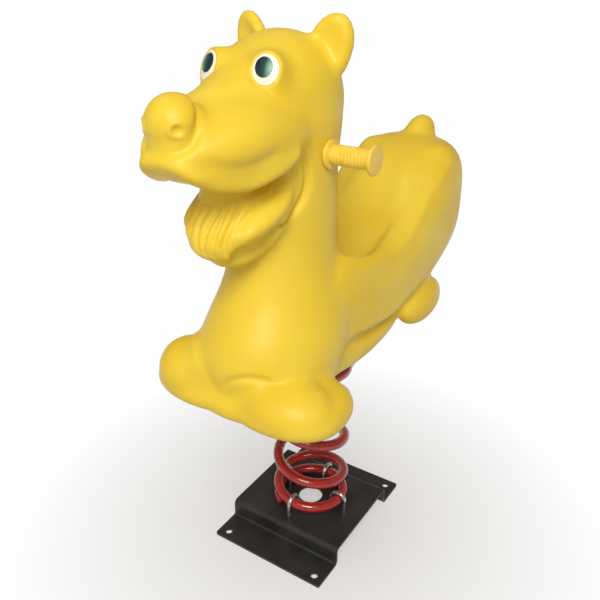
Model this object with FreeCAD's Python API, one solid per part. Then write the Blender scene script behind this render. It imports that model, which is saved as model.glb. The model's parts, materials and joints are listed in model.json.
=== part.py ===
import FreeCAD, Part
import math
import os

from FreeCAD import Vector

# Spring rider for a playground: a hollow moulded animal on one heavy coil spring.
# Millimetres. Origin: centre of the base plate on the ground. +Z up.
# The animal faces -Y, its left side is +X.

# fits
SEAT_GAP = 0.3            # between pieces that rest on each other
BOLT_PLAY = 0.5           # radial play of a bolt in its hole
INSERT_FIT = 0.05         # radial fit of a moulded-in insert
CUT_REACH = 24.0          # depth of the tools that open a pocket

# modelling steps that leave the shape as it is
RING_POINTS = 20
BALL_SEAM_TURN = 180.0    # keeps a ball's seam and poles off the middle plane
BALL_SEAM_LEAN = 7.0
BALL_SEAM_TILT = 11.0
SOCKET_SEAM_TURN = 50.0   # keeps an eye socket's seam off the bulge's seam

# base plate, folded from one sheet, open underneath
PLATE_WIDTH = 240.0
PLATE_TOP_LENGTH = 200.0
FLANGE_LENGTH = 62.0
PLATE_HEIGHT = 40.0
PLATE_SHEET = 5.0
PLATE_BEND = 5.0
PLATE_CORNER = 4.0
DRAIN_HOLE_RADIUS = 24.0
ANCHOR_HOLE_RADIUS = 6.5
ANCHOR_EDGE_X = 20.0
ANCHOR_EDGE_Y = 17.0

# coil spring, left-handed, closed ends
WIRE_RADIUS = 10.0
COIL_RADIUS = 65.0
COIL_PITCH = 90.5
COIL_TURNS = 5.5
COIL_LEAD = 0.05          # turns that lie flat at each end
COIL_RAMP = 1.9           # turns over which the pitch grows to its full value
COIL_START_DEG = -120.0
BASE_COIL_END = 1.5       # turns held by the base, then by each moving stretch
LOWER_COIL_END = 2.4
UPPER_COIL_END = 3.4
COIL_CUT_GAP = 0.3
COIL_STEPS_PER_TURN = 24

# clamps, nuts and washers
BASE_CLAMP_DEGREES = [-90.0, 0.0, 90.0, 180.0]
BASE_CLAMP_STRANDS = [0, 0, 0, 1]      # highest strand that each clamp bends over
TOP_CLAMP_DEGREES = [45.0, 135.0, 225.0, 315.0]
ROD_RADIUS = 4.0
NUT_FLATS = 13.0
NUT_HEIGHT = 6.5
WASHER_RADIUS = 8.5
WASHER_SHEET = 1.6
ROD_END = 3.0             # rod that stands past its nut
ROD_THREAD_PLAY = 0.1

# steel plate under the animal
TOP_PLATE_WIDTH = 138.0
TOP_PLATE_LENGTH = 212.0
TOP_PLATE_SHEET = 6.0
TOP_PLATE_CORNER = 15.0
BODY_BOLT_X = 52.0
BODY_BOLT_Y = 90.0
BOLT_RADIUS = 5.0
BOLT_HEAD_FLATS = 17.0
BOLT_HEAD_HEIGHT = 6.4
BOLT_REACH = 16.0
BOLT_THREAD_PLAY = 0.1
BOLT_WASHER_SHEET = 2.0
BOLT_WASHER_RADIUS = 10.5
INSERT_RADIUS = 9.0
INSERT_LENGTH = 22.0
INSERT_END_WALL = 3.0

# moulded animal
WALL = 6.0
RECESS_HALF = 66.0        # pocket over the clamp nuts
RECESS_DEPTH = 16.0
TORSO_SQUARENESS = 3.2
# torso cross-sections: place along Y, underside, top, half width
TORSO_SECTIONS = [
    (-150, 430, 560, 66),
    (-90, 412, 600, 92),
    (0, 408, 612, 106),
    (100, 410, 590, 115),
    (190, 414, 620, 120),
    (270, 422, 672, 121),
    (350, 444, 706, 117),
    (420, 470, 700, 103),
    (460, 506, 668, 78),
    (477, 545, 625, 38),
]
BELLY_SQUARENESS = 5.0
# narrower skirt around the steel plate
BELLY_SECTIONS = [
    (-150, 392, 500, 62),
    (-118, 376, 520, 80),
    (60, 376, 520, 82),
    (150, 376, 520, 82),
    (196, 390, 520, 78),
    (214, 410, 500, 66),
]
# neck and chest cross-sections: height, middle along Y, half width, half depth
NECK_SECTIONS = [
    (386, -132, 100, 116),
    (450, -118, 112, 136),
    (510, -106, 106, 130),
    (560, -94, 90, 110),
    (620, -87, 80, 98),
    (700, -90, 80, 98),
    (780, -98, 85, 104),
    (850, -102, 82, 100),
]
# skull and forehead, along Y as the torso
HEAD_SQUARENESS = 2.1
HEAD_SECTIONS = [
    (-262, 800, 860, 32),
    (-225, 782, 882, 54),
    (-180, 768, 906, 70),
    (-130, 755, 930, 84),
    (-90, 748, 935, 87),
    (-40, 752, 922, 75),
    (-4, 772, 893, 50),
    (10, 800, 862, 28),
]
MUZZLE_SQUARENESS = 2.2
MUZZLE_SECTIONS = [
    (-343, 790, 816, 24),
    (-324, 775, 833, 48),
    (-290, 763, 850, 71),
    (-250, 755, 866, 85),
    (-200, 750, 870, 90),
    (-150, 754, 866, 86),
    (-100, 764, 856, 70),
]
# both front feet, along X: place, half depth, half height
FEET_SECTIONS = [
    (-170, 22, 10),
    (-160, 48, 23),
    (-130, 73, 33),
    (-80, 84, 38),
    (-30, 80, 36),
    (0, 75, 34),
    (30, 80, 36),
    (80, 84, 38),
    (130, 73, 33),
    (160, 48, 23),
    (170, 22, 10),
]
FEET_Y = -180.0
FEET_Z = 401.0
# round forms on the middle plane: middle, radii, tilt about X
CENTRE_FORMS = [
    ((0, -311, 842), (37, 36, 36), 0),          # nose
    ((0, -190, 705), (71, 98, 50), 25),         # lower jaw and beard
    ((0, 418, 704), (29, 46, 36), 20),          # tail
]
REAR_FOOT_MIDDLE = (96, 252, 409)
REAR_FOOT_RADII = (34, 78, 45)
EAR_MIDDLE = (63, -66, 905)
EAR_RADII = (33, 16, 54)
EAR_HOLLOW_MIDDLE = (66, -80, 910)
EAR_HOLLOW_RADII = (21, 12, 36)
EAR_TURN = 18.0
EAR_LEAN = 22.0
SEAT_MIDDLE = (0, 128, 716)
SEAT_RADII = (136, 240, 132)
SEAT_TILT = 40.0
PLATE_POCKET_PLAY = 2.0

# handle
BAR_RADIUS = 11.0
BAR_WALL = 2.0
BAR_FIT = 0.3
HANDLE_Y = -90.0
HANDLE_Z = 772.0
GRIP_START_X = 83.0
GRIP_LENGTH = 75.0
GRIP_RADIUS = 14.5
GRIP_RIB = 1.5
GRIP_RIB_COUNT = 9
GRIP_FLANGE_RADIUS = 21.5
GRIP_FLANGE_SHEET = 8.0
GRIP_FLANGE_ROUND = 3.0
GRIP_END_WALL = 5.0
GRIP_SPOT_MARGIN = 2.0

# eyes
EYE_MIDDLE = (47.0, -190.0, 893.0)
EYE_HALF_HEIGHT = 19.5
EYE_NARROWING = 0.88      # half width over half height
EYE_SEAT_DEPTH = 8.0
EYE_DOME = 4.0
IRIS_RADIUS = 13.0
IRIS_SEAT = 1.0           # height of the iris pocket's floor above the eye's rim
IRIS_SHIFT_IN = 2.5
IRIS_SHIFT_UP = 2.5
IRIS_PROUD = 0.5
EYE_BULGE_RADIUS = 27.0
EYE_BULGE_SETBACK = 19.0
EYE_TURN = 22.0
EYE_LIFT = 22.0

UP = Vector(0, 0, 1)
ORIGIN = Vector(0, 0, 0)
SIDES = (1, -1)

wire_low = PLATE_HEIGHT + SEAT_GAP + WIRE_RADIUS
coil_rise = COIL_PITCH * (COIL_TURNS - 2 * COIL_LEAD - COIL_RAMP)
wire_high = wire_low + coil_rise
top_plate_low = wire_high + WIRE_RADIUS + SEAT_GAP
pad_low = top_plate_low + TOP_PLATE_SHEET + SEAT_GAP
leg_offset = WIRE_RADIUS + SEAT_GAP + ROD_RADIUS
under_plate = PLATE_HEIGHT - PLATE_SHEET
base_nut_low = under_plate - WASHER_SHEET - NUT_HEIGHT - 2 * SEAT_GAP
top_washer_low = top_plate_low + TOP_PLATE_SHEET + SEAT_GAP
top_nut_low = top_washer_low + WASHER_SHEET + SEAT_GAP
handle_middle = Vector(0, HANDLE_Y, HANDLE_Z)
bar_half = GRIP_START_X + GRIP_LENGTH - GRIP_END_WALL - SEAT_GAP
socket_low = -EYE_SEAT_DEPTH - SEAT_GAP
anchor_x = PLATE_WIDTH / 2 - ANCHOR_EDGE_X
anchor_y = PLATE_TOP_LENGTH / 2 + FLANGE_LENGTH - ANCHOR_EDGE_Y


def save(name, shape):
    shape.exportStep("parts/" + name + ".step")


def group(shapes):
    return Part.makeCompound(shapes)


def side_point(point, side):
    """The same point on the left (side 1) or the right (side -1)."""
    return Vector(side * point[0], point[1], point[2])


# ---- general solids

def cylinder(radius, length, base, axis=UP):
    return Part.makeCylinder(radius, length, base, axis)


def hexagon_prism(flats, height, base, bore=0.0):
    corner = flats / 2 / math.cos(math.pi / 6)
    points = []
    for i in range(7):
        turn = math.radians(60 * i)
        points.append(base + Vector(corner * math.cos(turn), corner * math.sin(turn), 0))
    prism = Part.Face(Part.makePolygon(points)).extrude(Vector(0, 0, height))
    if bore:
        prism = prism.cut(cylinder(bore, height, base))
    return prism


def ring_washer(base, radius, bore, sheet):
    return cylinder(radius, sheet, base).cut(cylinder(bore, sheet, base))


def ellipsoid(centre, radii, tilt=0.0, turn=0.0, roll=0.0):
    stretch = FreeCAD.Matrix()
    stretch.scale(Vector(*radii))
    ball = Part.makeSphere(1.0)
    ball.rotate(ORIGIN, Vector(0, 0, 1), BALL_SEAM_TURN)
    ball.rotate(ORIGIN, Vector(0, 1, 0), BALL_SEAM_LEAN)
    ball.rotate(ORIGIN, Vector(1, 0, 0), BALL_SEAM_TILT)
    shape = ball.transformGeometry(stretch)
    shape.rotate(ORIGIN, Vector(1, 0, 0), tilt)
    shape.rotate(ORIGIN, Vector(0, 1, 0), roll)
    shape.rotate(ORIGIN, Vector(0, 0, 1), turn)
    shape.translate(Vector(*centre))
    return shape


def oval_ring(centre, half_wide, half_deep, across, squareness=2.0):
    """Closed smooth wire; half_wide lies along X, half_deep along the vector across."""
    points = []
    for i in range(RING_POINTS):
        turn = 2 * math.pi * i / RING_POINTS
        c = math.cos(turn)
        s = math.sin(turn)
        wide = half_wide * math.copysign(abs(c) ** (2 / squareness), c)
        deep = half_deep * math.copysign(abs(s) ** (2 / squareness), s)
        points.append(centre + Vector(wide, 0, 0) + across * deep)
    curve = Part.BSplineCurve()
    curve.interpolate(Points=points, PeriodicFlag=True)
    return Part.Wire(curve.toShape())


# ---- base plate

def fold_edges(shape, y, z):
    found = []
    for edge in shape.Edges:
        box = edge.BoundBox
        if box.XLength < PLATE_WIDTH / 2:
            continue
        if abs(abs(box.Center.y) - y) < 0.1 and abs(box.Center.z - z) < 0.1:
            found.append(edge)
    return found


def make_base_plate():
    half_top = PLATE_TOP_LENGTH / 2
    half_foot = half_top + FLANGE_LENGTH
    half_under = half_top - PLATE_SHEET
    under = PLATE_HEIGHT - PLATE_SHEET
    hat = Part.makePolygon([
        Vector(-PLATE_WIDTH / 2, y, z) for y, z in [
            (-half_foot, 0), (-half_under, 0), (-half_under, under), (half_under, under),
            (half_under, 0), (half_foot, 0), (half_foot, PLATE_SHEET), (half_top, PLATE_SHEET),
            (half_top, PLATE_HEIGHT), (-half_top, PLATE_HEIGHT), (-half_top, PLATE_SHEET),
            (-half_foot, PLATE_SHEET), (-half_foot, 0),
        ]
    ])
    plate = Part.Face(hat).extrude(Vector(PLATE_WIDTH, 0, 0))
    outside = fold_edges(plate, half_top, PLATE_HEIGHT) + fold_edges(plate, half_under, 0)
    plate = plate.makeFillet(PLATE_BEND + PLATE_SHEET, outside)
    inside = fold_edges(plate, half_under, under) + fold_edges(plate, half_top, PLATE_SHEET)
    plate = plate.makeFillet(PLATE_BEND, inside)
    corners = []
    for edge in plate.Edges:
        box = edge.BoundBox
        at_end = abs(box.Center.x) > PLATE_WIDTH / 2 - 0.1 and abs(box.Center.y) > half_foot - 0.1
        if at_end and box.ZLength > PLATE_SHEET - 0.1:
            corners.append(edge)
    plate = plate.makeFillet(PLATE_CORNER, corners)
    plate = plate.cut(cylinder(DRAIN_HOLE_RADIUS, PLATE_SHEET, Vector(0, 0, under)))
    for x in (-1, 1):
        for y in (-1, 1):
            place = Vector(x * anchor_x, y * anchor_y, 0)
            plate = plate.cut(cylinder(ANCHOR_HOLE_RADIUS, PLATE_SHEET, place))
    for place in clamp_legs(BASE_CLAMP_DEGREES):
        hole = cylinder(ROD_RADIUS + BOLT_PLAY, PLATE_SHEET, place + UP * under)
        plate = plate.cut(hole)
    return plate


# ---- spring

def coil_height(turns):
    """Height of the wire's centre line after so many turns from the lower end."""
    def climbed(t):
        t = max(t - COIL_LEAD, 0)
        if t < COIL_RAMP:
            return t * t / (2 * COIL_RAMP)
        return t - COIL_RAMP / 2
    if turns < COIL_TURNS / 2:
        return wire_low + COIL_PITCH * climbed(turns)
    return wire_high - COIL_PITCH * climbed(COIL_TURNS - turns)


def coil_point(turns):
    angle = math.radians(COIL_START_DEG - 360 * turns)
    return Vector(COIL_RADIUS * math.cos(angle), COIL_RADIUS * math.sin(angle), coil_height(turns))


def coil_stretch(first, last):
    steps = max(8, round((last - first) * COIL_STEPS_PER_TURN))
    points = [coil_point(first + (last - first) * i / steps) for i in range(steps + 1)]
    path = Part.BSplineCurve()
    path.interpolate(points)
    start = path.value(path.FirstParameter)
    heading = path.tangent(path.FirstParameter)[0]
    wire = Part.Wire(Part.makeCircle(WIRE_RADIUS, start, heading))
    return Part.Wire(path.toShape()).makePipeShell([wire], True, True)


def strand_height(degrees, nth):
    """Centre height of the nth strand, from below, that passes over a direction."""
    first = ((COIL_START_DEG - degrees) % 360) / 360
    return coil_height(first + nth)


def last_strand_height(degrees):
    first = ((COIL_START_DEG - degrees) % 360) / 360
    return coil_height(first + math.floor(COIL_TURNS - first))


# ---- clamps

def clamp_legs(degrees):
    """Feet of every clamp's two legs, on the ground plane."""
    feet = []
    for turn in degrees:
        heading = Vector(math.cos(math.radians(turn)), math.sin(math.radians(turn)), 0)
        feet.append(heading * (COIL_RADIUS - leg_offset))
        feet.append(heading * (COIL_RADIUS + leg_offset))
    return feet


def u_bolt(degrees, bend_z, end_z):
    """Round rod bent over the wire; legs run from the bend to end_z."""
    turn = math.radians(degrees)
    heading = Vector(math.cos(turn), math.sin(turn), 0)
    middle = heading * COIL_RADIUS + UP * bend_z
    side = 1 if bend_z > end_z else -1
    inner = middle - heading * leg_offset
    outer = middle + heading * leg_offset
    drop = UP * (end_z - bend_z)
    arc = Part.Arc(inner, middle + UP * leg_offset * side, outer)
    path = Part.Wire([
        Part.makeLine(inner + drop, inner), arc.toShape(), Part.makeLine(outer, outer + drop),
    ])
    rod = Part.Wire(Part.makeCircle(ROD_RADIUS, inner + drop, UP))
    return path.makePipeShell([rod], True, False)


# ---- steel plate under the animal

def make_top_plate():
    plate = Part.makeBox(TOP_PLATE_WIDTH, TOP_PLATE_LENGTH, TOP_PLATE_SHEET,
                         Vector(-TOP_PLATE_WIDTH / 2, -TOP_PLATE_LENGTH / 2, top_plate_low))
    upright = [e for e in plate.Edges if e.BoundBox.ZLength > TOP_PLATE_SHEET - 0.1]
    plate = plate.makeFillet(TOP_PLATE_CORNER, upright)
    for place in clamp_legs(TOP_CLAMP_DEGREES):
        hole = cylinder(ROD_RADIUS + BOLT_PLAY, TOP_PLATE_SHEET, place + UP * top_plate_low)
        plate = plate.cut(hole)
    for place in body_bolts():
        hole = cylinder(BOLT_RADIUS + BOLT_PLAY, TOP_PLATE_SHEET, place + UP * top_plate_low)
        plate = plate.cut(hole)
    return plate


def body_bolts():
    return [Vector(x * BODY_BOLT_X, y * BODY_BOLT_Y, 0) for x in (-1, 1) for y in (-1, 1)]


def make_body_bolt(place):
    washer_low = top_plate_low - SEAT_GAP - BOLT_WASHER_SHEET
    head_low = washer_low - SEAT_GAP - BOLT_HEAD_HEIGHT
    head = hexagon_prism(BOLT_HEAD_FLATS, BOLT_HEAD_HEIGHT, place + UP * head_low)
    shank_top = pad_low + BOLT_REACH
    shank_low = head_low + BOLT_HEAD_HEIGHT
    return head.fuse(cylinder(BOLT_RADIUS, shank_top - shank_low, place + UP * shank_low))


def make_insert(place):
    insert = cylinder(INSERT_RADIUS, INSERT_LENGTH, place + UP * pad_low)
    return insert.cut(cylinder(BOLT_RADIUS + BOLT_THREAD_PLAY, BOLT_REACH + ROD_END, place + UP * pad_low))


# ---- moulded animal

def loft_along_y(sections, squareness, shrink):
    rings = []
    last = len(sections) - 1
    for i, (y, low, high, half) in enumerate(sections):
        inward = shrink if i == 0 else -shrink if i == last else 0
        middle = Vector(0, y + inward, (low + high) / 2)
        rings.append(oval_ring(middle, half - shrink, (high - low) / 2 - shrink, UP, squareness))
    return Part.makeLoft(rings, True, False)


def make_neck(shrink):
    rings = []
    for z, y, wide, deep in NECK_SECTIONS:
        lift = shrink if z == NECK_SECTIONS[0][0] else 0
        rings.append(oval_ring(Vector(0, y, z + lift), wide - shrink, deep - shrink, Vector(0, 1, 0)))
    return Part.makeLoft(rings, True, False)


def make_feet(shrink):
    rings = []
    last = FEET_SECTIONS[-1][0]
    for x, deep, tall in FEET_SECTIONS:
        inward = shrink if x == -last else -shrink if x == last else 0
        ring = oval_ring(ORIGIN, deep - shrink, tall - shrink, UP)
        ring.rotate(ORIGIN, UP, 90)
        ring.translate(Vector(x + inward, FEET_Y, FEET_Z))
        rings.append(ring)
    return Part.makeLoft(rings, True, False)


def animal_form(shrink):
    """The animal's rounded forms as one solid, each form drawn in by shrink."""
    seat = ellipsoid(SEAT_MIDDLE, [r + shrink for r in SEAT_RADII], SEAT_TILT)
    form = loft_along_y(TORSO_SECTIONS, TORSO_SQUARENESS, shrink).cut(seat)
    parts = [
        loft_along_y(BELLY_SECTIONS, BELLY_SQUARENESS, shrink),
        make_neck(shrink),
        loft_along_y(HEAD_SECTIONS, HEAD_SQUARENESS, shrink),
        loft_along_y(MUZZLE_SECTIONS, MUZZLE_SQUARENESS, shrink),
        make_feet(shrink),
    ]
    for middle, radii, tilt in CENTRE_FORMS:
        parts.append(ellipsoid(middle, [r - shrink for r in radii], tilt))
    for side in SIDES:
        middle = side_point(REAR_FOOT_MIDDLE, side)
        seam_out = BALL_SEAM_TURN if side > 0 else 0
        parts.append(ellipsoid(middle, [r - shrink for r in REAR_FOOT_RADII], turn=seam_out))
    for part in parts:
        form = form.fuse(part)
    return form


def make_ear(side):
    turn = side * EAR_TURN
    lean = side * EAR_LEAN
    ear = ellipsoid(side_point(EAR_MIDDLE, side), EAR_RADII, turn=turn, roll=lean)
    return ear.cut(ellipsoid(side_point(EAR_HOLLOW_MIDDLE, side), EAR_HOLLOW_RADII, turn=turn, roll=lean))


def across_x(radius, half_length):
    """Round bar through the handle's place, from side to side."""
    start = handle_middle - Vector(half_length, 0, 0)
    return Part.makeCylinder(radius, 2 * half_length, start, Vector(1, 0, 0))


def pad_block(half_x, half_y, top, bottom=0.0):
    return Part.makeBox(2 * half_x, 2 * half_y, top - bottom, Vector(-half_x, -half_y, bottom))


def make_outside():
    """The animal's outer skin as a full solid, with its pockets and bores."""
    pocket_x = TOP_PLATE_WIDTH / 2 + PLATE_POCKET_PLAY
    pocket_y = TOP_PLATE_LENGTH / 2 + PLATE_POCKET_PLAY
    outside = animal_form(0)
    for side in SIDES:
        outside = outside.fuse(make_ear(side))
        bulge = Part.makeSphere(EYE_BULGE_RADIUS, UP * -EYE_BULGE_SETBACK)
        outside = outside.fuse(eye_placed(bulge, side))
    outside = outside.cut(pad_block(pocket_x, pocket_y, pad_low, pad_low - CUT_REACH))
    outside = outside.cut(pad_block(RECESS_HALF, RECESS_HALF, pad_low + RECESS_DEPTH, pad_low - WALL))
    outside = outside.cut(across_x(BAR_RADIUS + BAR_FIT, GRIP_START_X + WALL))
    for place in body_bolts():
        outside = outside.cut(cylinder(INSERT_RADIUS + INSERT_FIT, INSERT_LENGTH, place + UP * pad_low))
    for side in SIDES:
        socket = eye_cylinder(EYE_HALF_HEIGHT + SEAT_GAP, socket_low, CUT_REACH)
        outside = outside.cut(eye_placed(socket, side))
        outward = Vector(side, 0, 0)
        spot_start = handle_middle + outward * (GRIP_START_X - SEAT_GAP)
        spot = cylinder(GRIP_FLANGE_RADIUS + GRIP_SPOT_MARGIN, CUT_REACH, spot_start, outward)
        outside = outside.cut(spot)
    return outside


def make_hollow():
    """The space inside the animal, kept one wall away from every pocket and bore."""
    pocket_x = TOP_PLATE_WIDTH / 2 + PLATE_POCKET_PLAY + WALL
    pocket_y = TOP_PLATE_LENGTH / 2 + PLATE_POCKET_PLAY + WALL
    recess = RECESS_HALF + WALL
    boss_top = pad_low + INSERT_LENGTH + INSERT_END_WALL
    hollow = animal_form(WALL)
    hollow = hollow.cut(across_x(BAR_RADIUS + BAR_FIT + WALL, GRIP_START_X + WALL))
    hollow = hollow.cut(pad_block(pocket_x, pocket_y, pad_low + WALL))
    hollow = hollow.cut(pad_block(recess, recess, pad_low + RECESS_DEPTH + WALL))
    for place in body_bolts():
        hollow = hollow.cut(cylinder(INSERT_RADIUS + WALL, boss_top, place))
    for side in SIDES:
        seat_wall = eye_cylinder(EYE_HALF_HEIGHT + SEAT_GAP + WALL, socket_low - WALL, CUT_REACH)
        hollow = hollow.cut(eye_placed(seat_wall, side))
    return hollow


# ---- eyes

def eye_placed(shape, side):
    """Narrows a shape made about +Z at the origin and moves it to that side's eye seat."""
    turn = math.radians(side * EYE_TURN)
    lift = math.radians(EYE_LIFT)
    facing = Vector(math.cos(lift) * math.sin(turn), -math.cos(lift) * math.cos(turn), math.sin(lift))
    sideways = Vector(math.cos(turn), math.sin(turn), 0)
    narrow = FreeCAD.Matrix()
    narrow.scale(Vector(EYE_NARROWING, 1, 1))
    placed = shape.transformGeometry(narrow)
    turned = FreeCAD.Rotation(sideways, facing.cross(sideways), facing, "ZXY")
    placed.Placement = FreeCAD.Placement(side_point(EYE_MIDDLE, side), turned)
    return placed


def eye_cylinder(radius, low, high):
    seam_turn = FreeCAD.Matrix()
    seam_turn.rotateZ(math.radians(SOCKET_SEAM_TURN))
    return cylinder(radius, high - low, UP * low).transformGeometry(seam_turn)


def eye_dome(proud):
    round_radius = (EYE_HALF_HEIGHT ** 2 + EYE_DOME ** 2) / (2 * EYE_DOME)
    return Part.makeSphere(round_radius + proud, UP * (EYE_DOME - round_radius))


def iris_middle(side):
    return Vector(-side * IRIS_SHIFT_IN, IRIS_SHIFT_UP, 0)


def make_eye_white(side):
    blank = cylinder(EYE_HALF_HEIGHT, EYE_SEAT_DEPTH + EYE_DOME, UP * -EYE_SEAT_DEPTH)
    disc = blank.common(eye_dome(0))
    pocket = cylinder(IRIS_RADIUS + SEAT_GAP, EYE_DOME * 2, iris_middle(side) + UP * IRIS_SEAT)
    return eye_placed(disc.cut(pocket), side)


def make_iris(side):
    low = IRIS_SEAT + SEAT_GAP
    disc = cylinder(IRIS_RADIUS, EYE_DOME * 2, iris_middle(side) + UP * low)
    return eye_placed(disc.common(eye_dome(IRIS_PROUD)), side)


# ---- handle

def make_handle_bar():
    return across_x(BAR_RADIUS, bar_half).cut(across_x(BAR_RADIUS - BAR_WALL, bar_half))


def make_grip(side):
    """Ribbed barrel between two flanges, with a closed outer end."""
    pitch = (GRIP_LENGTH - 2 * GRIP_FLANGE_SHEET) / GRIP_RIB_COUNT
    outer_flange_x = GRIP_LENGTH - GRIP_FLANGE_SHEET
    grip = cylinder(GRIP_RADIUS, GRIP_LENGTH, ORIGIN)
    for start in (0, outer_flange_x):
        flange = cylinder(GRIP_FLANGE_RADIUS, GRIP_FLANGE_SHEET, UP * start)
        grip = grip.fuse(flange.makeFillet(GRIP_FLANGE_ROUND, flange.Edges[:1] + flange.Edges[2:]))
    for i in range(GRIP_RIB_COUNT):
        middle = UP * (GRIP_FLANGE_SHEET + pitch * (i + 0.5))
        grip = grip.fuse(Part.makeTorus(GRIP_RADIUS - GRIP_RIB, 2 * GRIP_RIB, middle, UP))
    grip = grip.cut(cylinder(BAR_RADIUS + BAR_FIT, GRIP_LENGTH - GRIP_END_WALL, ORIGIN))
    outward = Vector(side, 0, 0)
    start = handle_middle + outward * GRIP_START_X
    grip.Placement = FreeCAD.Placement(start, FreeCAD.Rotation(UP, outward))
    return grip


def save_spring():
    cuts = [0, BASE_COIL_END, LOWER_COIL_END, UPPER_COIL_END, COIL_TURNS]
    names = ["spring_base_coil", "spring_lower_coil", "spring_upper_coil", "spring_top_coil"]
    half_gap = COIL_CUT_GAP / 2 / (2 * math.pi * COIL_RADIUS)
    for i, name in enumerate(names):
        first = cuts[i] + (half_gap if i > 0 else 0)
        last = cuts[i + 1] - (half_gap if i < 3 else 0)
        save(name, coil_stretch(first, last))


def save_base_clamps():
    base_end = base_nut_low - ROD_END
    clamps = zip(BASE_CLAMP_DEGREES, BASE_CLAMP_STRANDS)
    save("base_clamps", group([u_bolt(d, strand_height(d, n), base_end) for d, n in clamps]))
    legs = clamp_legs(BASE_CLAMP_DEGREES)
    washer_low = under_plate - SEAT_GAP - WASHER_SHEET
    hole = ROD_RADIUS + ROD_THREAD_PLAY
    washers = [ring_washer(p + UP * washer_low, WASHER_RADIUS, hole, WASHER_SHEET) for p in legs]
    save("base_clamp_washers", group(washers))
    nuts = [hexagon_prism(NUT_FLATS, NUT_HEIGHT, p + UP * base_nut_low, hole) for p in legs]
    save("base_clamp_nuts", group(nuts))


def save_top_clamps():
    top_end = top_nut_low + NUT_HEIGHT + ROD_END
    clamps = [u_bolt(d, last_strand_height(d), top_end) for d in TOP_CLAMP_DEGREES]
    save("top_clamps", group(clamps))
    legs = clamp_legs(TOP_CLAMP_DEGREES)
    hole = ROD_RADIUS + ROD_THREAD_PLAY
    washers = [ring_washer(p + UP * top_washer_low, WASHER_RADIUS, hole, WASHER_SHEET) for p in legs]
    save("top_clamp_washers", group(washers))
    nuts = [hexagon_prism(NUT_FLATS, NUT_HEIGHT, p + UP * top_nut_low, hole) for p in legs]
    save("top_clamp_nuts", group(nuts))


def save_body_bolts():
    washer_low = top_plate_low - SEAT_GAP - BOLT_WASHER_SHEET
    hole = BOLT_RADIUS + BOLT_THREAD_PLAY
    places = body_bolts()
    washers = [ring_washer(p + UP * washer_low, BOLT_WASHER_RADIUS, hole, BOLT_WASHER_SHEET) for p in places]
    save("body_bolt_washers", group(washers))
    save("body_bolts", group([make_body_bolt(p) for p in places]))
    save("threaded_inserts", group([make_insert(p) for p in places]))


def save_pair(name, make):
    save("left_" + name, make(1))
    save("right_" + name, make(-1))


def main():
    os.makedirs("parts", exist_ok=True)
    save("base_plate", make_base_plate())
    save_spring()
    save_base_clamps()
    save_top_clamps()
    save("top_plate", make_top_plate())
    save_body_bolts()
    save("handle_bar", make_handle_bar())
    save_pair("grip", make_grip)
    save_pair("eye_white", make_eye_white)
    save_pair("iris", make_iris)
    save("body_shell", make_outside().cut(make_hollow()))


main()
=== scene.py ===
import bpy
import json
import math
import numpy as np
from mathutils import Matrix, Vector

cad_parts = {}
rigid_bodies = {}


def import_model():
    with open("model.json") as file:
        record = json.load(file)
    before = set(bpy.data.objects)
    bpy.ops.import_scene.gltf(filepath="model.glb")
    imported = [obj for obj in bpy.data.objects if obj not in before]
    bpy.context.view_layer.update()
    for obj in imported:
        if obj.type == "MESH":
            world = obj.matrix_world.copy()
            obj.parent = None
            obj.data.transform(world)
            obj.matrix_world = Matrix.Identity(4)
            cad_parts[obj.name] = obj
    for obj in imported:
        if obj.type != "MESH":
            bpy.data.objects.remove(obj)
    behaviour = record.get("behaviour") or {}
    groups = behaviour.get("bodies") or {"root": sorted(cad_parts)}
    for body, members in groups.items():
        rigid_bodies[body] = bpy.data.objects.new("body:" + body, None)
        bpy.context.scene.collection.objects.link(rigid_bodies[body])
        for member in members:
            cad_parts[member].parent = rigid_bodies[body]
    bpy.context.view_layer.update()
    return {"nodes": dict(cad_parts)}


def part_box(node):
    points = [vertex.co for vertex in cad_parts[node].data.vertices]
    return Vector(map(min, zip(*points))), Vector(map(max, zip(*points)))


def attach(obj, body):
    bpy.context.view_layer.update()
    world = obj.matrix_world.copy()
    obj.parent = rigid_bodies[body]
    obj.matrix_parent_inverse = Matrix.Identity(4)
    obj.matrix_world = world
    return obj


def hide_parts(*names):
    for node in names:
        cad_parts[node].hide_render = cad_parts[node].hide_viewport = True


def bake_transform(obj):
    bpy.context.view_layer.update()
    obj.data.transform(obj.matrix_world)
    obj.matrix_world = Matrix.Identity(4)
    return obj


# Playground spring rider: moulded animal on a coil spring, bolted to a folded plate.
# Metres, +Z up, the animal faces -Y and its left side is +X.

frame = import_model()
nodes = frame["nodes"]
print("stage 1: frame loaded,", len(nodes), "nodes")


def linear(code, alpha=1.0):
    # sRGB hex to the linear colour that the shaders take
    parts = [int(code[i:i + 2], 16) / 255 for i in (1, 3, 5)]
    bent = [c / 12.92 if c <= 0.04045 else ((c + 0.055) / 1.055) ** 2.4 for c in parts]
    return (*bent, alpha)


def addNode(tree, kind, values=None, links=None, **settings):
    node = tree.nodes.new(kind)
    for key, value in settings.items():
        setattr(node, key, value)
    for socket, value in (values or {}).items():
        node.inputs[socket].default_value = value
    for socket, source in (links or {}).items():
        tree.links.new(source, node.inputs[socket])
    return node


# where the clouds of a mottle start and end, and the fineness of a grain
mottle = {"colour": (0.35, 0.68), "roughness": (0.35, 0.65), "grainDetail": 2.0}


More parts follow.
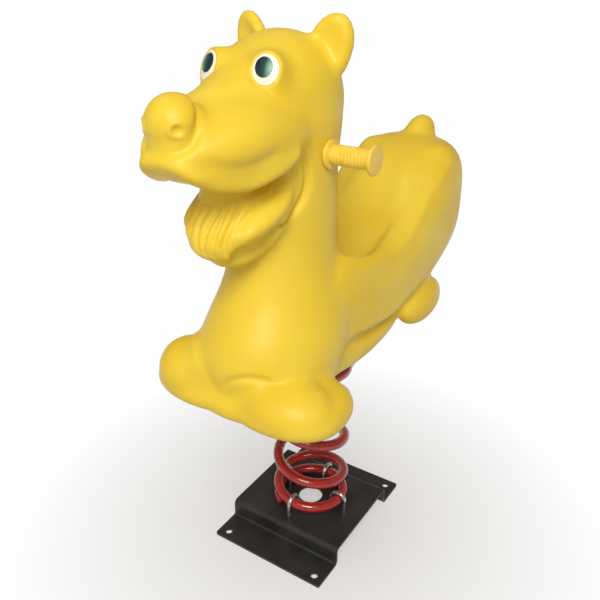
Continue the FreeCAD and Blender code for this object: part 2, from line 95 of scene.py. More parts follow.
def newMaterial(name, shader, colour=None, roughness=None, bumps=()):
    # shader holds the even values; colour and roughness are (low, high, scale, detail) mottles,
    # bumps are (scale, height, strength) grains, all on object coordinates
    material = bpy.data.materials.new(name)
    material.use_nodes = True
    tree = material.node_tree
    surface = tree.nodes["Principled BSDF"]
    for socket, value in shader.items():
        surface.inputs[socket].default_value = value
    place = addNode(tree, "ShaderNodeTexCoord").outputs["Object"]
    if colour:
        low, high, scale, detail = colour
        cloud = addNode(tree, "ShaderNodeTexNoise", {"Scale": scale, "Detail": detail},
                        {"Vector": place})
        ramp = addNode(tree, "ShaderNodeValToRGB", links={"Fac": cloud.outputs["Fac"]})
        for end, code, position in zip(ramp.color_ramp.elements, (low, high), mottle["colour"]):
            end.position = position
            end.color = linear(code)
        tree.links.new(ramp.outputs["Color"], surface.inputs["Base Color"])
    if roughness:
        low, high, scale, detail = roughness
        cloud = addNode(tree, "ShaderNodeTexNoise", {"Scale": scale, "Detail": detail},
                        {"Vector": place})
        start, end = mottle["roughness"]
        spread = addNode(tree, "ShaderNodeMapRange",
                         {"From Min": start, "From Max": end, "To Min": low, "To Max": high},
                         {"Value": cloud.outputs["Fac"]})
        tree.links.new(spread.outputs["Result"], surface.inputs["Roughness"])
    normal = None
    for scale, height, strength in bumps:
        grain = addNode(tree, "ShaderNodeTexNoise",
                        {"Scale": scale, "Detail": mottle["grainDetail"]}, {"Vector": place})
        links = {"Height": grain.outputs["Fac"]}
        if normal:
            links["Normal"] = normal
        bump = addNode(tree, "ShaderNodeBump", {"Distance": height, "Strength": strength}, links)
        normal = bump.outputs["Normal"]
    if normal:
        tree.links.new(normal, surface.inputs["Normal"])
    return material


# Rotationally moulded polyethylene: waxy and even, soft wide highlights, a faint orange peel
mouldedYellow = newMaterial(
    "rotomoulded polyethylene yellow",
    {"IOR": 1.51, "Roughness": 0.44, "Specular IOR Level": 0.36,
     "Subsurface Weight": 0.06, "Subsurface Scale": 0.004, "Subsurface Radius": (1.0, 0.6, 0.15)},
    colour=("#edcc38", "#f1d848", 7.0, 3.0), roughness=(0.38, 0.50, 22.0, 3.0),
    bumps=((45.0, 0.0006, 0.25), (260.0, 0.00012, 0.35)))
# Flexible vinyl grip: paler than the body and a little duller
gripVinyl = newMaterial(
    "moulded vinyl pale yellow",
    {"IOR": 1.53, "Roughness": 0.42, "Subsurface Weight": 0.05, "Subsurface Scale": 0.003},
    colour=("#f2cf4c", "#f8dc62", 60.0, 2.0), bumps=((700.0, 0.00008, 0.4),))
# Spring steel under a thick glossy red powder coat: sharp highlights over a slight ripple
redCoat = newMaterial(
    "glossy powder coat red",
    {"IOR": 1.5, "Roughness": 0.22, "Coat Weight": 0.6, "Coat Roughness": 0.08},
    colour=("#9c1c19", "#b12722", 40.0, 2.0), roughness=(0.18, 0.34, 60.0, 3.0),
    bumps=((420.0, 0.00015, 0.3),))
# Mild steel under satin black powder coat: fine sandy grain, greyed where it is handled
blackCoat = newMaterial(
    "satin powder coat black",
    {"IOR": 1.5, "Roughness": 0.48},
    colour=("#202124", "#2e2f33", 18.0, 4.0), roughness=(0.40, 0.58, 30.0, 4.0),
    bumps=((900.0, 0.0002, 0.5),))
# Bright zinc plate on steel rod and nuts: silvery with a cloudy bloom
zincPlate = newMaterial(
    "bright zinc plate",
    {"Metallic": 1.0, "Roughness": 0.28},
    colour=("#aeb2b8", "#d8dbe0", 90.0, 3.0), roughness=(0.22, 0.42, 140.0, 3.0),
    bumps=((1100.0, 0.00005, 0.3),))
# Drawn steel tube, oiled, seen only inside the grips
drawnSteel = newMaterial(
    "drawn steel tube",
    {"Metallic": 1.0, "Roughness": 0.38},
    colour=("#80827f", "#a6a7a4", 50.0, 3.0), bumps=((800.0, 0.00005, 0.3),))
# Turned brass inserts, dull
turnedBrass = newMaterial(
    "turned brass",
    {"Metallic": 1.0, "Roughness": 0.36},
    colour=("#b08d45", "#c9a65a", 90.0, 2.0), bumps=((900.0, 0.00005, 0.3),))
# Glossy ABS eye white
eyeAbs = newMaterial(
    "glossy ABS white",
    {"IOR": 1.53, "Roughness": 0.26, "Coat Weight": 0.3, "Coat Roughness": 0.12},
    colour=("#f8f8f7", "#fdfdfc", 60.0, 2.0), bumps=((500.0, 0.00004, 0.2),))
# Pad-printed iris in ABS under a satin varnish: navy print towards the nose, running out to a pale
# sea green on the outer side that is green print with a painted highlight over it
irisAbs = newMaterial(
    "printed ABS iris with painted highlight",
    {"IOR": 1.53, "Roughness": 0.34, "Specular IOR Level": 0.35},
    bumps=((500.0, 0.00004, 0.2),))
# colours across the iris, from navy print to a painted highlight, and where they start and end, as
# a distance from the middle plane
irisPrintAndHighlight = {
    # outer is the green print lightened into a painted highlight
    "inner": "#15263a", "middle": "#1d4648", "outer": "#7cbca0",
    "from": 0.0385, "to": 0.0560,
}


def paintIrisPrintAndHighlight(material):
    # navy print near the middle plane, lightened outwards into a painted highlight
    tree = material.node_tree
    place = addNode(tree, "ShaderNodeTexCoord").outputs["Object"]
    parts = addNode(tree, "ShaderNodeSeparateXYZ", links={"Vector": place})
    out = addNode(tree, "ShaderNodeMath", links={0: parts.outputs["X"]}, operation="ABSOLUTE")
    share = addNode(tree, "ShaderNodeMapRange",
                    {"From Min": irisPrintAndHighlight["from"], "From Max": irisPrintAndHighlight["to"]},
                    {"Value": out.outputs[0]})
    ramp = addNode(tree, "ShaderNodeValToRGB", links={"Fac": share.outputs["Result"]})
    ramp.color_ramp.elements[0].color = linear(irisPrintAndHighlight["inner"])
    ramp.color_ramp.elements[1].color = linear(irisPrintAndHighlight["outer"])
    ramp.color_ramp.elements.new(0.5).color = linear(irisPrintAndHighlight["middle"])
    tree.links.new(ramp.outputs["Color"], tree.nodes["Principled BSDF"].inputs["Base Color"])


paintIrisPrintAndHighlight(irisAbs)

nodeFinish = {
    "base_plate": blackCoat, "top_plate": blackCoat,
    "base_clamps": zincPlate, "base_clamp_washers": zincPlate, "base_clamp_nuts": zincPlate,
    "top_clamps": zincPlate, "top_clamp_washers": zincPlate, "top_clamp_nuts": zincPlate,
    "body_bolts": zincPlate, "body_bolt_washers": zincPlate, "threaded_inserts": turnedBrass,
    "spring_base_coil": redCoat, "spring_lower_coil": redCoat,
    "spring_upper_coil": redCoat, "spring_top_coil": redCoat,
    "body_shell": mouldedYellow, "handle_bar": drawnSteel,
    "left_grip": gripVinyl, "right_grip": gripVinyl,
    "left_eye_white": eyeAbs, "right_eye_white": eyeAbs,
    "left_iris": irisAbs, "right_iris": irisAbs,
}
for nodeName, finish in nodeFinish.items():
    for materialSlot in nodes[nodeName].material_slots:
        materialSlot.material = finish
print("stage 2: finishes made")


def workOn(piece):
    if bpy.context.object and bpy.context.object.mode != "OBJECT":
        bpy.ops.object.mode_set(mode="OBJECT")
    bpy.ops.object.select_all(action="DESELECT")
    bpy.context.view_layer.objects.active = piece
    piece.select_set(True)


def applyModifiers(piece):
    workOn(piece)
    for modifier in list(piece.modifiers):
        bpy.ops.object.modifier_apply(modifier=modifier.name)


def settle(piece, material):
    # moves the place into the mesh, turns the faces outwards and gives the finish
    workOn(piece)
    bpy.ops.object.transform_apply(location=True, rotation=True, scale=True)
    bpy.ops.object.mode_set(mode="EDIT")
    bpy.ops.mesh.select_all(action="SELECT")
    bpy.ops.mesh.remove_doubles(threshold=1e-6)
    bpy.ops.mesh.normals_make_consistent(inside=False)
    bpy.ops.object.mode_set(mode="OBJECT")
    piece.data.materials.clear()
    piece.data.materials.append(material)


# Moulded animal: the outer skin of its solid, evened, with softer joins and fine creases

figure = {
    "voxel": 0.0046,
    "joinRounds": 22,            # each round widens the blends where forms meet
    "joinGain": 0.5,
    "rimRounds": 10,             # softening of the seat's rim and the back
    "rimStart": (0.03, 0.54),    # the softened region lies behind this y and above this z
    "rimFade": (0.05, 0.04),     # and fades in over these
    "evenRounds": 3,             # rounds that take the steps out of the remeshed skin
    "evenGain": 0.5,
    # half width, half length and top of the pocket for the steel plate, which keeps its edges
    "pocket": (0.075, 0.112, 0.402),
    "detailReach": 0.014,        # faces are halved this near to the creases
    "detailWidth": 0.0095,       # that are narrower than this
    "lineStep": 0.0015,          # between the points along a crease
    "strokeReach": 3,            # a crease is worked out this many half widths from its line
    "fadeShare": 6,              # it fades over one part in this many of its length
    "ringPoints": 73,
    "formSides": 48,             # faces around a form that is added
    "formRings": 24,
    # forms added before the skin is evened: place, radii, tilt about X in degrees
    "added": [
        # throat and the root of the jaw
        ((0.0, -0.212, 0.736), (0.044, 0.042, 0.040), 20.0),
        ((0.0, -0.176, 0.690), (0.060, 0.090, 0.046), 32.0),
        # right front foot, the bar below the chest, left front foot
        ((-0.058, -0.196, 0.420), (0.076, 0.060, 0.050), 0.0),
        ((-0.060, -0.204, 0.440), (0.060, 0.050, 0.052), 0.0),
        ((-0.098, -0.214, 0.425), (0.052, 0.053, 0.051), 0.0),
        ((0.0, -0.190, 0.399), (0.110, 0.072, 0.034), 0.0),
        ((0.082, -0.204, 0.410), (0.082, 0.060, 0.046), 0.0),
        # corners of the seat's back
        ((-0.066, 0.348, 0.671), (0.034, 0.040, 0.033), 0.0),
        ((0.066, 0.348, 0.671), (0.034, 0.040, 0.033), 0.0),
        # skirt around the steel plate
        ((0.0, 0.170, 0.430), (0.088, 0.085, 0.047), 0.0),
        ((-0.084, 0.055, 0.402), (0.012, 0.125, 0.026), 0.0),
        ((0.084, 0.055, 0.402), (0.012, 0.125, 0.026), 0.0),
    ],
}
# upper lip, a roll that hangs below the muzzle on both sides: all in mm, points of its middle
lip = {
    "radius": 13.0,
    "step": 5.0,
    "points": [(0, -330, 798), (24, -328, 793), (38, -313, 782), (47, -294, 773), (54, -271, 768),
               (63, -247, 767), (74, -221, 775), (79, -198, 783), (81, -182, 792)],
}
eyes = {
    "middle": (0.047, -0.190, 0.893),
    "turn": 22.0,                # degrees that the left eye faces outwards
    "lift": 22.0,                # degrees that it faces upwards
    "half": (0.0172, 0.0195),
    # the skin's height in mm around the eye, by distance over the eye's own size, then its share
    "collar": [(0.0, -0.9), (1.06, -0.9), (1.14, -0.3), (1.28, -0.5), (1.5, -2.2), (2.0, -6.5),
               (2.6, -13.0)],
    "share": [(0.0, 1.0), (1.14, 1.0), (1.3, 0.72), (1.55, 0.45), (1.9, 0.18), (2.4, 0.0)],
    "depth": (0.018, 0.036),     # the collar fades out between these distances from the eye's plane
    "sink": (1.14, 1.40),        # beyond these it only raises the skin
    "plug": (0.021, 0.024),      # radius and length of the form that fills the socket
}
# creases and ridges: height in mm, minus for a groove; half width in mm; sides, 1 left, -1 right;
# points in mm. One that starts at x = 0 and lies on both sides runs right across as one line.
both = (1, -1)
strokes = [
    # mouth line under the lip
    (-11.0, 6.0, both, [(0, -239, 742), (24, -232, 741), (40, -214, 743), (47, -193, 748),
                        (53, -173, 756), (60, -165, 762), (64, -158, 766)]),
    # front edge of the lip, and the soft hollow above its roll
    (4.0, 8.0, both, [(0, -344, 801), (26, -339, 797), (42, -324, 786), (50, -302, 776)]),
    (-3.5, 10.0, both, [(40, -326, 806), (56, -308, 798), (66, -290, 792), (77, -266, 790),
                        (86, -240, 795), (90, -212, 803)]),
    # underside of the jaw, drawn up towards the neck
    (-12.0, 15.0, both, [(64, -180, 684), (60, -205, 676), (52, -230, 667), (43, -250, 660),
                         (36, -262, 656)]),
    (-12.0, 15.0, both, [(58, -188, 668), (54, -208, 658), (46, -230, 650), (37, -248, 645),
                         (30, -258, 642)]),
    # edge of the jaw against the neck, and the jaw's rolled edge
    (-8.0, 6.0, both, [(78, -160, 786), (75, -140, 767), (75, -134, 746), (72, -137, 723),
                       (63, -152, 700), (62, -190, 682), (52, -232, 672), (42, -258, 664)]),
    (4.0, 8.0, both, [(64, -154, 740), (67, -176, 722), (65, -208, 706), (57, -240, 694),
                      (48, -255, 684)]),
    # hollow between the jaw's edge and the beard
    (-6.0, 8.0, both, [(59, -172, 752), (55, -196, 736), (50, -224, 722), (43, -246, 707),
                       (37, -260, 690)]),
    # beard's locks
    (-5.0, 3.4, (1,), [(0, -247, 730), (-7, -260, 716), (-10, -270, 702), (-9, -279, 686),
                       (-6, -278, 662)]),
    (-5.0, 3.4, (1,), [(16, -247, 732), (11, -259, 717), (7, -271, 703), (4, -279, 686),
                       (3, -277, 658)]),
    (-5.0, 3.4, (1,), [(26, -243, 732), (22, -256, 719), (21, -265, 706), (19, -274, 691),
                       (16, -272, 658)]),
    (-6.5, 4.2, (1,), [(38, -230, 733), (34, -247, 716), (33, -262, 698), (31, -270, 682),
                       (30, -262, 660)]),
    (-5.0, 3.4, (-1,), [(10, -247, 730), (21, -256, 716), (24, -264, 702), (24, -272, 686),
                        (20, -270, 662)]),
    (-6.5, 4.2, (-1,), [(38, -230, 733), (36, -246, 716), (35, -260, 698), (34, -267, 682),
                        (30, -262, 660)]),
    # fold behind the nose
    (-4.5, 6.0, both, [(0, -282, 874), (16, -290, 869), (30, -301, 858), (37, -311, 843),
                       (37, -323, 826), (28, -335, 816), (12, -342, 813), (0, -343, 812)]),
    # near front foot, folded over the other
    (-5.0, 7.0, (1,), [(2, -252, 430), (7, -250, 446), (20, -251, 457), (45, -243, 464),
                       (69, -226, 457), (88, -205, 444)]),
    # long fold along the side, above the skirt around the spring, and the edge over it
    (-9.0, 9.0, both, [(104, -84, 424), (100, -60, 430), (97, -31, 434), (96, 10, 430),
                       (93, 60, 422), (92, 110, 420), (95, 165, 422)]),
    (3.5, 10.0, both, [(110, -60, 458), (107, -20, 456), (108, 30, 452), (110, 90, 446),
                       (112, 150, 446)]),
    # rolled rim of the seat and the flat hollow inside it
    (4.0, 13.0, both, [(75, 372, 742), (88, 371, 690), (103, 321, 661), (101, 255, 637),
                       (103, 212, 606), (106, 133, 566), (102, 52, 562), (88, -45, 580)]),
    (-5.0, 18.0, both, [(56, 330, 730), (66, 290, 686), (70, 240, 644), (66, 180, 606),
                        (56, 110, 574), (50, 40, 566)]),
]
# rings around a spot, on both sides: height, half width and middle in mm, the way that the spot
# faces as turn and lift in degrees, half sizes in mm
rings = [
    (-1.2, 3.0, (47, -190, 893), 22.0, 22.0, (26.5, 28.5)),     # line around the eye
    (2.6, 3.6, (27, -335, 840), 32.0, 4.0, (9.5, 8.0)),         # nostril's lip
    (-3.0, 4.6, (27, -335, 840), 32.0, 4.0, (1.5, 1.0)),        # nostril
]


def copyOuterSkin(nodeName, pieceName):
    # keeps what is joined to the highest point and drops the skin of the hollow inside
    piece = bpy.data.objects.new(pieceName, nodes[nodeName].data.copy())
    bpy.context.scene.collection.objects.link(piece)
    workOn(piece)
    bpy.ops.object.mode_set(mode="EDIT")
    bpy.ops.mesh.select_all(action="SELECT")
    bpy.ops.mesh.remove_doubles(threshold=1e-5)
    bpy.ops.mesh.select_all(action="DESELECT")
    bpy.ops.object.mode_set(mode="OBJECT")
    top = max(piece.data.vertices, key=lambda v: v.co.z)
    top.select = True
    bpy.ops.object.mode_set(mode="EDIT")
    bpy.ops.mesh.select_linked()
    bpy.ops.mesh.select_all(action="INVERT")
    bpy.ops.mesh.delete(type="VERT")
    bpy.ops.object.mode_set(mode="OBJECT")
    return piece


def readMesh(piece):
    count = len(piece.data.vertices)
    points = np.empty(count * 3, np.float32)
    normals = np.empty(count * 3, np.float32)
    piece.data.vertices.foreach_get("co", points)
    piece.data.vertex_normals.foreach_get("vector", normals)
    return points.reshape(-1, 3).astype(float), normals.reshape(-1, 3).astype(float)


def writeMesh(piece, points):
    piece.data.vertices.foreach_set("co", points.astype(np.float32).ravel())
    piece.data.update()


def softened(points, edges):
    # mean place of each point's neighbours
    count = len(points)
    links = np.bincount(edges.ravel(), minlength=count)
    total = np.empty_like(points)
    for axis in range(3):
        total[:, axis] = (np.bincount(edges[:, 0], points[edges[:, 1], axis], count)
                          + np.bincount(edges[:, 1], points[edges[:, 0], axis], count))
    return total / np.maximum(links, 1)[:, None]


def edgesOf(piece):
    edges = np.empty(len(piece.data.edges) * 2, np.int32)
    piece.data.edges.foreach_get("vertices", edges)
    return edges.reshape(-1, 2)


def fillJoins(piece, rounds, gain, weight):
    # raises hollows only, so that forms flow into each other and nothing shrinks
    edges = edgesOf(piece)
    for _ in range(rounds):
        points, normals = readMesh(piece)
        move = softened(points, edges) - points
        lift = np.maximum((move * normals).sum(1), 0) * gain * weight
        writeMesh(piece, points + normals * lift[:, None])


def soften(piece, rounds, gain, weight):
    # moves each point towards its neighbours
    edges = edgesOf(piece)
    points, _ = readMesh(piece)
    for _ in range(rounds):
        points += (softened(points, edges) - points) * gain * weight[:, None]
    writeMesh(piece, points)


def smoothLine(points, step):
    # runs a smooth line through the points
    line = [points[0]]
    for i in range(len(points) - 1):
        before = points[max(i - 1, 0)]
        a, b = points[i], points[i + 1]
        after = points[min(i + 2, len(points) - 1)]
        count = max(2, int(np.linalg.norm(b - a) / step))
        for k in range(1, count + 1):
            t = k / count
            line.append(0.5 * (2 * a + (b - before) * t
                               + (2 * before - 5 * a + 4 * b - after) * t * t
                               + (3 * a - before - 3 * b + after) * t ** 3))
    return np.array(line)


def strokeLines():
    # height, half width, line and whether its ends fade, in metres, for every crease and ring
    made = []
    for height, width, sides, points in strokes:
        points = np.array(points, float)
        if points[0][0] == 0 and len(sides) == 2:
            points = np.vstack([points[:0:-1] * (-1, 1, 1), points])
            sides = (1,)
        for side in sides:
            line = smoothLine(points / 1000, figure["lineStep"]) * (side, 1, 1)
            made.append((height / 1000, width / 1000, line, True))
    for height, width, middle, turn, lift, half in rings:
        _, across, up = faceAxes(turn, lift)
        turns = np.linspace(0, 2 * math.pi, figure["ringPoints"])
        line = (np.array(middle) + np.outer(np.cos(turns) * half[0], across)
                + np.outer(np.sin(turns) * half[1], up)) / 1000
        for side in (1, -1):
            made.append((height / 1000, width / 1000, line * (side, 1, 1), False))
    return made


def faceAxes(turn, lift):
    # the way a spot on the left of the head faces, and the two ways across it
    turn, lift = math.radians(turn), math.radians(lift)
    facing = Vector((math.cos(lift) * math.sin(turn), -math.cos(lift) * math.cos(turn),
                     math.sin(lift)))
    across = Vector((math.cos(turn), math.sin(turn), 0))
    return facing, across, facing.cross(across)


def addForms(piece):
    # joins full round forms to the skin; the remesh makes one surface of them
    made = []
    for place, radii, tilt in figure["added"]:
        bpy.ops.mesh.primitive_uv_sphere_add(
            segments=figure["formSides"], ring_count=figure["formRings"], radius=1,
            location=place, rotation=(math.radians(tilt), 0, 0), scale=radii)
        made.append(bpy.context.object)
    for spot in smoothLine(np.array(lip["points"], float), lip["step"]):
        for side in (1, -1):
            bpy.ops.mesh.primitive_ico_sphere_add(subdivisions=3, radius=lip["radius"] / 1000,
                                                  location=spot / 1000 * (side, 1, 1))
            made.append(bpy.context.object)
    radius, length = eyes["plug"]
    for side in (1, -1):
        facing = faceAxes(eyes["turn"], eyes["lift"])[0] * Vector((side, 1, 1))
        bpy.ops.mesh.primitive_cylinder_add(
            vertices=figure["formSides"], radius=radius, depth=length,
            location=Vector(eyes["middle"]) * Vector((side, 1, 1)) - facing * (length / 2),
            rotation=facing.to_track_quat("Z", "Y").to_euler())
        made.append(bpy.context.object)
    workOn(piece)
    for form in made:
        form.select_set(True)
    bpy.ops.object.join()


def nearest(points, line, reach):
    # distance to the line, and how far along it, for the points within reach
    best = np.full(len(points), 1e9)
    where = np.zeros(len(points))
    near = np.flatnonzero(((points > line.min(0) - reach) & (points < line.max(0) + reach)).all(1))
    for i, spot in enumerate(line):
        d = ((points[near] - spot) ** 2).sum(1)
        closer = near[d < best[near]]
        best[closer] = d[d < best[near]]
        where[closer] = i / (len(line) - 1)
    return np.sqrt(best), where


def cutStrokes(piece):
    # halves the skin's faces along the fine creases, then pushes it in or out along every line
    lines = strokeLines()
    points, _ = readMesh(piece)
    close = np.zeros(len(points), bool)
    for _, width, line, _ in lines:
        if width < figure["detailWidth"]:
            close |= nearest(points, line, figure["detailReach"])[0] < figure["detailReach"]
    chosen = np.array([close[list(p.vertices)].all() for p in piece.data.polygons])
    workOn(piece)
    bpy.ops.object.mode_set(mode="EDIT")
    bpy.ops.mesh.select_mode(type="FACE")
    bpy.ops.mesh.select_all(action="DESELECT")
    bpy.ops.object.mode_set(mode="OBJECT")
    piece.data.polygons.foreach_set("select", chosen)
    bpy.ops.object.mode_set(mode="EDIT")
    bpy.ops.mesh.subdivide(number_cuts=1)
    bpy.ops.object.mode_set(mode="OBJECT")
    farAway = figure["strokeReach"] ** 2     # nothing is left of a crease here
    for height, width, line, fades in lines:
        points, normals = readMesh(piece)
        away, along = nearest(points, line, width * figure["strokeReach"])
        taper = np.ones(len(points))
        if fades:
            taper = np.clip(np.minimum(along, 1 - along) * figure["fadeShare"], 0, 1)
        taper = taper * taper * (3 - 2 * taper)
        push = height * np.exp(-np.minimum(away / width, farAway) ** 2) * taper
        writeMesh(piece, points + normals * push[:, None])


def seatEyes(piece):
    # a shallow seat and an even collar around each eye, so that the eye's own rim shows
    points, _ = readMesh(piece)
    for side in (1, -1):
        axes = [np.array(a) * (side, 1, 1) for a in faceAxes(eyes["turn"], eyes["lift"])]
        local = (points - np.array(eyes["middle"]) * (side, 1, 1)) @ np.array(axes).T
        out = np.hypot(local[:, 1] / eyes["half"][0], local[:, 2] / eyes["half"][1])
        height = np.interp(out, *np.array(eyes["collar"]).T) / 1000
        share = np.interp(out, *np.array(eyes["share"]).T)
        share *= np.interp(np.abs(local[:, 0]), eyes["depth"], (1, 0))
        move = (height - local[:, 0]) * share
        move = np.where(move < 0, move * np.interp(out, eyes["sink"], (1, 0)), move)
        points += move[:, None] * axes[0]
    writeMesh(piece, points)


def makeAnimal():
    piece = copyOuterSkin("body_shell", "moulded_animal")
    addForms(piece)
    remesh = piece.modifiers.new("even mesh", "REMESH")
    remesh.mode = "VOXEL"
    remesh.voxel_size = figure["voxel"]
    applyModifiers(piece)
    points, _ = readMesh(piece)
    everywhere = np.ones(len(points))
    soften(piece, figure["evenRounds"], figure["evenGain"], everywhere)
    x, y, z = points.T
    halfWidth, halfLength, top = figure["pocket"]
    pocket = (np.abs(x) < halfWidth) & (np.abs(y) < halfLength) & (z < top)
    joins = np.where(pocket, 0.0, 1.0)
    fillJoins(piece, figure["joinRounds"], figure["joinGain"], joins)
    rimY, rimZ = figure["rimStart"]
    fadeY, fadeZ = figure["rimFade"]
    rim = np.clip((y - rimY) / fadeY, 0, 1) * np.clip((z - rimZ) / fadeZ, 0, 1)
    soften(piece, figure["rimRounds"], figure["evenGain"], rim)
    cutStrokes(piece)
    seatEyes(piece)
    workOn(piece)
    bpy.ops.object.shade_smooth()
    settle(piece, mouldedYellow)
    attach(piece, "rider")
    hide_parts("body_shell")
    print("stage 3: animal made,", len(piece.data.polygons), "faces")


makeAnimal()

# Coil spring, in three lengths

spring = {
    "wire": 0.010,                   # the wire's radius
    "radius": 0.065,                 # from the axis to the wire's middle
    "pitch": 0.0905,
    "turns": 5.5,
    "lead": 0.05,                    # turns that lie flat at each end
    "ramp": 1.9,                     # turns over which the pitch opens up
    "startDegrees": -120.0,
    "stepsPerTurn": 60,
    "bevelSteps": 6,
    "smoothDegrees": 40,
    # name, first and last turn, bodies that it bends between, heights where the bend starts and
    # ends, nodes that it replaces
    "lengths": [
        ("spring_foot_turns", 0.0, 2.1, "base", "lower_spring", 0.075, 0.140, ["spring_base_coil"]),
        ("spring_middle_turns", 2.1, 3.0, "lower_spring", "upper_spring", 0.160, 0.222,
         ["spring_lower_coil", "spring_upper_coil"]),
        ("spring_head_turns", 3.0, 5.5, "upper_spring", "rider", 0.242, 0.320, ["spring_top_coil"]),
    ],
}
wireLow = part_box("spring_base_coil")[0].z + spring["wire"]
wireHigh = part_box("spring_top_coil")[1].z - spring["wire"]


def coilPoint(turn):
    def climbed(t):
        t = max(t - spring["lead"], 0)
        ramp = spring["ramp"]
        return t * t / (2 * ramp) if t < ramp else t - ramp / 2
    if turn < spring["turns"] / 2:
        height = wireLow + spring["pitch"] * climbed(turn)
    else:
        height = wireHigh - spring["pitch"] * climbed(spring["turns"] - turn)
    angle = math.radians(spring["startDegrees"] - 360 * turn)
    return Vector((spring["radius"] * math.cos(angle), spring["radius"] * math.sin(angle), height))


def makeSpring():
    for name, first, last, lower, upper, start, end, replaced in spring["lengths"]:
        steps = round((last - first) * spring["stepsPerTurn"])
        path = bpy.data.curves.new(name, "CURVE")
        path.dimensions = "3D"
        path.bevel_depth = spring["wire"]
        path.bevel_resolution = spring["bevelSteps"]
        path.use_fill_caps = True
        spline = path.splines.new("POLY")
        spline.points.add(steps)
        for i in range(steps + 1):
            spline.points[i].co = (*coilPoint(first + (last - first) * i / steps), 1)
        piece = bpy.data.objects.new(name, path)
        bpy.context.scene.collection.objects.link(piece)
        workOn(piece)
        bpy.ops.object.convert(target="MESH")
        piece = bpy.context.object
        piece.name = name
        bpy.ops.object.shade_smooth_by_angle(angle=math.radians(spring["smoothDegrees"]))
        settle(piece, redCoat)
        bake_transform(piece)
        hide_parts(*replaced)
    print("stage 4: spring made")


makeSpring()

# Ribbed grips, each spun from one profile

grip = {
    "startX": 0.083,
    "middle": (-0.090, 0.772),       # y and z of the bar
    "ribs": 11,
    "ribRadius": 0.0146,
    "grooveRadius": 0.0131,
    "bore": 0.0114,
    "ribSwell": 0.00035,             # the middle of a rib stands out by this
    # radius at each share of a rib's length
    "ribShape": [(0.0, "grooveRadius"), (0.22, "ribRadius"),
                 (0.5, "ribRadius"), (0.78, "ribRadius")],
    "collarGap": 0.4,                # mm between the collar and the first groove
    "ribShare": 0.99,                # share of the length between the flanges that the ribs take
    "steps": 64,
    "smoothDegrees": 35,
    # distance from the neck and radius, in mm: inner collar, then outer flange and domed end
    "collar": [(0.0, 19.6), (0.5, 20.9), (1.6, 21.4), (3.6, 21.4), (4.8, 20.9), (5.6, 19.6),
               (6.0, 16.2),
               (6.8, 14.6)],
    "flange": [(67.4, 14.6), (68.2, 16.2), (68.6, 19.6), (69.2, 20.9), (70.4, 21.4), (72.2, 21.4),
               (73.4, 20.8), (74.1, 19.4), (74.5, 16.0), (74.8, 8.0), (75.0, 0.0)],
}


def gripProfile():
    # distance from the neck and radius, in metres, from the bore over the ribs to the domed end
    line = [(0.0, grip["bore"] * 1000)] + grip["collar"]
    start, end = grip["collar"][-1][0], grip["flange"][0][0]
    pitch = (end - start) / grip["ribs"]
    for i in range(grip["ribs"]):
        for share, radius in grip["ribShape"]:
            swell = grip["ribSwell"] if share == 0.5 else 0
            along = start + grip["collarGap"] + pitch * (i + share) * grip["ribShare"]
            line.append((along, (grip[radius] + swell) * 1000))
    return [(x / 1000, r / 1000) for x, r in line + grip["flange"]]


def makeGrips():
    profile = gripProfile()
    y, z = grip["middle"]
    for side, name in ((1, "left"), (-1, "right")):
        # a plane merged to one point, drawn out along the profile and spun round the bar
        bpy.ops.mesh.primitive_plane_add(size=0.001, location=(0, 0, 0))
        piece = bpy.context.object
        piece.name = name + "_ribbed_grip"
        bpy.ops.object.mode_set(mode="EDIT")
        bpy.ops.mesh.select_mode(type="VERT")
        bpy.ops.mesh.select_all(action="SELECT")
        bpy.ops.mesh.merge(type="CENTER")
        at = Vector((side * (grip["startX"] + profile[0][0]), y, z + profile[0][1]))
        bpy.ops.transform.translate(value=at)
        for x, radius in profile[1:]:
            spot = Vector((side * (grip["startX"] + x), y, z + radius))
            bpy.ops.mesh.extrude_region_move(TRANSFORM_OT_translate={"value": spot - at})
            at = spot
        bpy.ops.mesh.select_all(action="SELECT")
        bpy.ops.mesh.spin(steps=grip["steps"], angle=2 * math.pi, center=(0, y, z), axis=(1, 0, 0))
        bpy.ops.object.mode_set(mode="OBJECT")
        bpy.ops.object.shade_smooth_by_angle(angle=math.radians(grip["smoothDegrees"]))
        settle(piece, gripVinyl)
        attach(piece, "rider")
        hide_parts(name + "_grip")
    print("stage 5: grips made")


makeGrips()

# Floor, light and camera

studio = {
    "floorSize": 60.0,
    "floorWhiteAndPaintedShade": (0.50, 1.0),      # white share that the camera sees, low under the plate as a painted shade and full away from it
    "paintedShadeFade": (0.12, 0.60),      # how far from the middle the painted shade gives way to white
    "floorColour": "#c4c2bf",       # paper that the light falls on
    "worldLevel": 0.38,
    "worldTint": "#ffead4",
    "lampTint": "#fffdf0",
    "keyPower": 94.0,
    "keyPlace": (1.4, -2.35, 2.95),
    "keySize": 1.4,
    "fillPower": 5.0,
    "fillPlace": (-1.8, -2.6, 1.3),
    "fillSize": 1.8,
    "aim": (0.0, 0.0, 0.60),
    "cameraPlace": (0.56, -0.896, 0.996),
    "cameraDown": 25.87,            # degrees below level
    "cameraTurn": 33.2,
    "lens": 39.85,
    "sensor": 36,
}


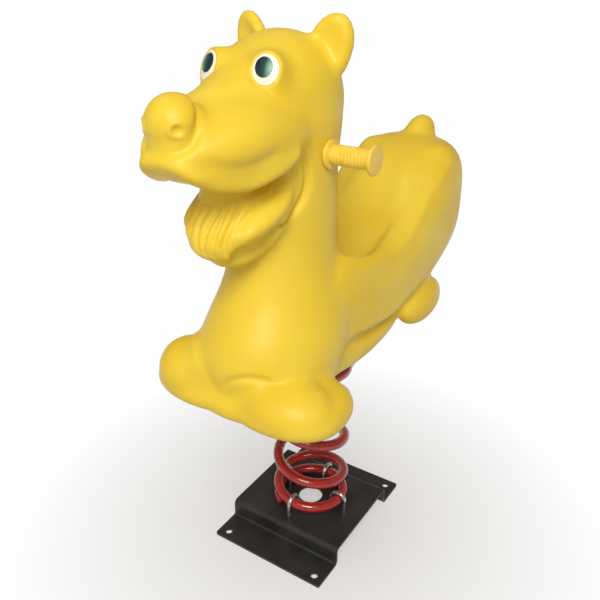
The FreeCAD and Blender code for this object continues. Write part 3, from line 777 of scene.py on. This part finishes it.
def makeFloor():
    # white where the camera, a mirror or clear stuff sees it, and paper under the light; the white
    # falls off towards the middle, a painted shade under the plate
    bpy.ops.mesh.primitive_plane_add(size=studio["floorSize"])
    floor = bpy.context.object
    floor.name = "studio_floor"
    bpy.ops.object.mode_set(mode="EDIT")
    bpy.ops.mesh.subdivide(number_cuts=3)
    bpy.ops.object.mode_set(mode="OBJECT")
    material = bpy.data.materials.new("white studio paper")
    material.use_nodes = True
    tree = material.node_tree
    tree.nodes.clear()
    path = addNode(tree, "ShaderNodeLightPath").outputs
    seen = addNode(tree, "ShaderNodeMath",
                   links={0: path["Is Camera Ray"], 1: path["Is Glossy Ray"]},
                   operation="MAXIMUM")
    seen = addNode(tree, "ShaderNodeMath",
                   links={0: seen.outputs[0], 1: path["Is Transmission Ray"]},
                   operation="MAXIMUM")
    place = addNode(tree, "ShaderNodeTexCoord").outputs["Object"]
    away = addNode(tree, "ShaderNodeVectorMath", links={0: place}, operation="LENGTH")
    near, far = studio["paintedShadeFade"]
    low, high = studio["floorWhiteAndPaintedShade"]
    # painted shade: less white near the middle, under the plate
    white = addNode(tree, "ShaderNodeMapRange",
                    {"From Min": near, "From Max": far, "To Min": low, "To Max": high},
                    {"Value": away.outputs["Value"]})
    share = addNode(tree, "ShaderNodeMath", links={0: seen.outputs[0], 1: white.outputs[0]},
                    operation="MULTIPLY")
    paper = addNode(tree, "ShaderNodeBsdfDiffuse", {"Color": linear(studio["floorColour"])})
    glow = addNode(tree, "ShaderNodeEmission", {"Color": (1, 1, 1, 1), "Strength": 1.0})
    mixed = addNode(tree, "ShaderNodeMixShader",
                    links={0: share.outputs[0], 1: paper.outputs[0], 2: glow.outputs[0]})
    addNode(tree, "ShaderNodeOutputMaterial", links={"Surface": mixed.outputs[0]})
    floor.data.materials.append(material)


def makeWorld():
    # plain white behind the part, and an even soft light on it
    world = bpy.data.worlds.new("studio")
    bpy.context.scene.world = world
    world.use_nodes = True
    tree = world.node_tree
    tree.nodes.clear()
    path = addNode(tree, "ShaderNodeLightPath").outputs
    seen = addNode(tree, "ShaderNodeMath",
                   links={0: path["Is Camera Ray"], 1: path["Is Transmission Ray"]},
                   operation="MAXIMUM")
    soft = addNode(tree, "ShaderNodeBackground",
                   {"Color": linear(studio["worldTint"]), "Strength": studio["worldLevel"]})
    white = addNode(tree, "ShaderNodeBackground", {"Color": (1, 1, 1, 1), "Strength": 1.0})
    mixed = addNode(tree, "ShaderNodeMixShader",
                    links={0: seen.outputs[0], 1: soft.outputs[0], 2: white.outputs[0]})
    addNode(tree, "ShaderNodeOutputWorld", links={"Surface": mixed.outputs[0]})


def makeLamp(name, place, size, power):
    lamp = bpy.data.lights.new(name, "AREA")
    lamp.energy = power
    lamp.size = size
    lamp.color = linear(studio["lampTint"])[:3]
    holder = bpy.data.objects.new(name, lamp)
    bpy.context.scene.collection.objects.link(holder)
    holder.location = place
    aim = Vector(studio["aim"]) - Vector(place)
    holder.rotation_euler = aim.to_track_quat("-Z", "Y").to_euler()


def makeCamera():
    camera = bpy.data.cameras.new("view")
    camera.sensor_width = studio["sensor"]
    camera.lens = studio["lens"]
    holder = bpy.data.objects.new("view", camera)
    bpy.context.scene.collection.objects.link(holder)
    holder.location = studio["cameraPlace"]
    holder.rotation_euler = (math.radians(90 - studio["cameraDown"]), 0,
                             math.radians(studio["cameraTurn"]))
    bpy.context.scene.camera = holder


makeFloor()
makeWorld()
makeLamp("key", studio["keyPlace"], studio["keySize"], studio["keyPower"])
makeLamp("fill", studio["fillPlace"], studio["fillSize"], studio["fillPower"])
makeCamera()
bpy.context.scene.view_settings.view_transform = "Standard"
print("stage 6: studio made")
